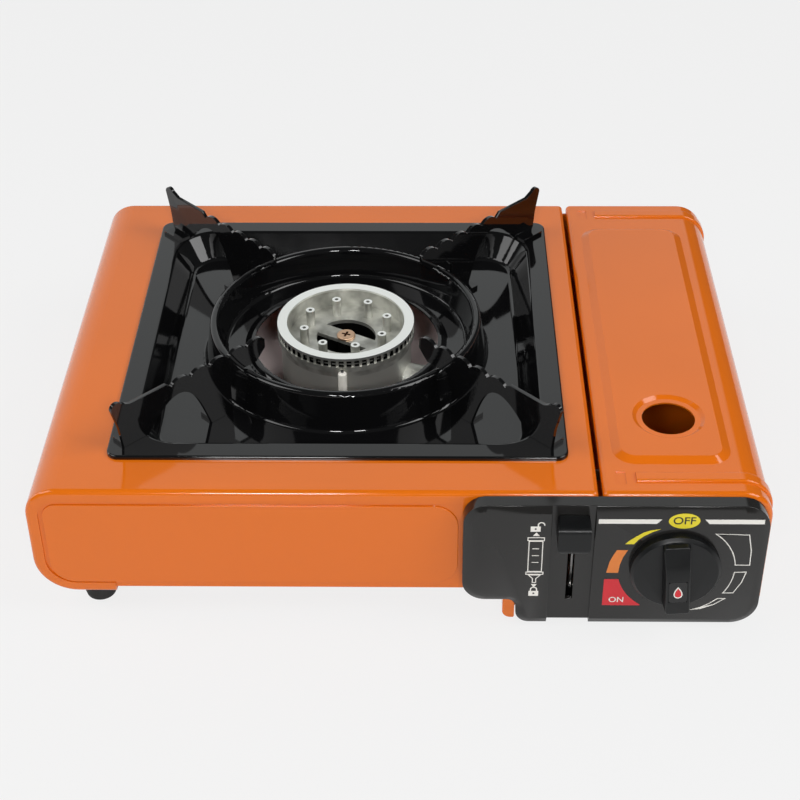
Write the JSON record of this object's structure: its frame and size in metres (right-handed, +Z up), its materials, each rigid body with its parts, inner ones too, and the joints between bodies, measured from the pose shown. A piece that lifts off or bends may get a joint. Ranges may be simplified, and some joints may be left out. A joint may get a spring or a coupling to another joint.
{
  "type": "portable gas stove",
  "caption": "Flat portable gas stove with a round burner, lift-off drip pan with pan supports, hinged cartridge lid, control knob with igniter, and cartridge lock lever.",
  "frame": {"origin": "on the table, under the middle of the bounding box", "axes": "+X to the right (cartridge side, seen from the front), +Y to the back, +Z up"},
  "size_m": [0.348, 0.2886, 0.1033],
  "materials": {
    "orange_enamel": "smooth glossy enamel",
    "black_enamel": "glossy black enamel",
    "charcoal_plastic": "satin moulded plastic",
    "black_plastic": "moulded plastic",
    "window_plastic": "printed plastic pad",
    "cast_aluminium": "bead-blasted casting",
    "zinc_sheet": "bright zinc-plated sheet",
    "steel": "plain steel",
    "brass": "turned brass",
    "white_ceramic": null,
    "white_plastic": "moulded plastic",
    "lead_insulation": "soft silicone insulation",
    "rubber": "matt rubber"
  },
  "bodies": {
    "case": {"body_shell": "orange_enamel", "front_panel": "orange_enamel", "rear_panel": "orange_enamel", "base_plate": "zinc_sheet", "cartridge_tray": "orange_enamel", "partition_wall": "zinc_sheet", "heat_shield": "zinc_sheet", "burner_bracket": "zinc_sheet", "bracket_screws": "steel", "burner_head": "cast_aluminium", "burner_base": "cast_aluminium", "burner_screw": "brass", "gas_nozzle": "brass", "nozzle_bracket": "zinc_sheet", "gas_tube": "steel", "tube_nut": "brass", "electrode_ceramic": "white_ceramic", "electrode_pin": "steel", "electrode_bracket": "zinc_sheet", "ignition_lead": "lead_insulation", "control_panel": "charcoal_plastic", "panel_screws": "steel", "igniter_body": "black_plastic", "igniter_spring": "steel", "igniter_bracket": "zinc_sheet", "regulator_bracket": "zinc_sheet", "regulator_body": "cast_aluminium", "regulator_cover": "cast_aluminium", "regulator_screws": "steel", "cartridge_seal": "rubber", "lever_guide": "zinc_sheet", "cartridge_locator": "zinc_sheet", "tray_hinge_leaves": "orange_enamel", "hinge_pins": "steel", "foot_front_left": "rubber", "foot_back_left": "rubber", "foot_front_right": "rubber", "foot_back_right": "rubber"},
    "lid": {"cartridge_lid": "orange_enamel", "lid_hinge_leaves": "orange_enamel"},
    "knob": {"control_knob": "black_plastic", "knob_window": "window_plastic", "valve_spindle": "steel", "ignition_cam": "white_plastic"},
    "plunger": {"igniter_plunger": "white_plastic"},
    "lever": {"lever_knob": "black_plastic", "lever_slider": "steel", "slider_pin": "steel"},
    "catch": {"cartridge_catch": "zinc_sheet"},
    "pan": {"drip_pan": "black_enamel", "pan_support_back_right": "black_enamel", "pan_support_back_left": "black_enamel", "pan_support_front_left": "black_enamel", "pan_support_front_right": "black_enamel"}
  },
  "joints": [
    {"name": "lid_hinge", "type": "hinge", "parent": "case", "child": "lid", "pos_m": [0.1695, 0.01125, 0.008], "axis": [0, 1, 0], "range_deg": [0, 90]},
    {"name": "knob_turn", "type": "hinge", "parent": "case", "child": "knob", "pos_m": [0.1282, -0.131, 0.039], "axis": [0, -1, 0], "range_deg": [0, 135]},
    {"name": "plunger_push", "type": "slide", "parent": "case", "child": "plunger", "axis": [0, 0, 1], "range_m": [0, 0.004], "deforming": ["igniter_spring"]},
    {"name": "lever_slide", "type": "slide", "parent": "case", "child": "lever", "axis": [0, 0, -1], "range_m": [0, 0.036]},
    {"name": "catch_pull", "type": "slide", "parent": "case", "child": "catch", "axis": [0, -1, 0], "range_m": [0, 0.005]},
    {"name": "pan_lift", "type": "slide", "parent": "case", "child": "pan", "axis": [0, 0, 1], "range_m": [0, 0.12]}
  ],
  "couplings": [
    {"joint": "plunger_push", "follows": "knob_turn", "m_per_rad": 0.0016976},
    {"joint": "catch_pull", "follows": "lever_slide", "ratio": 0.13889}
  ]
}
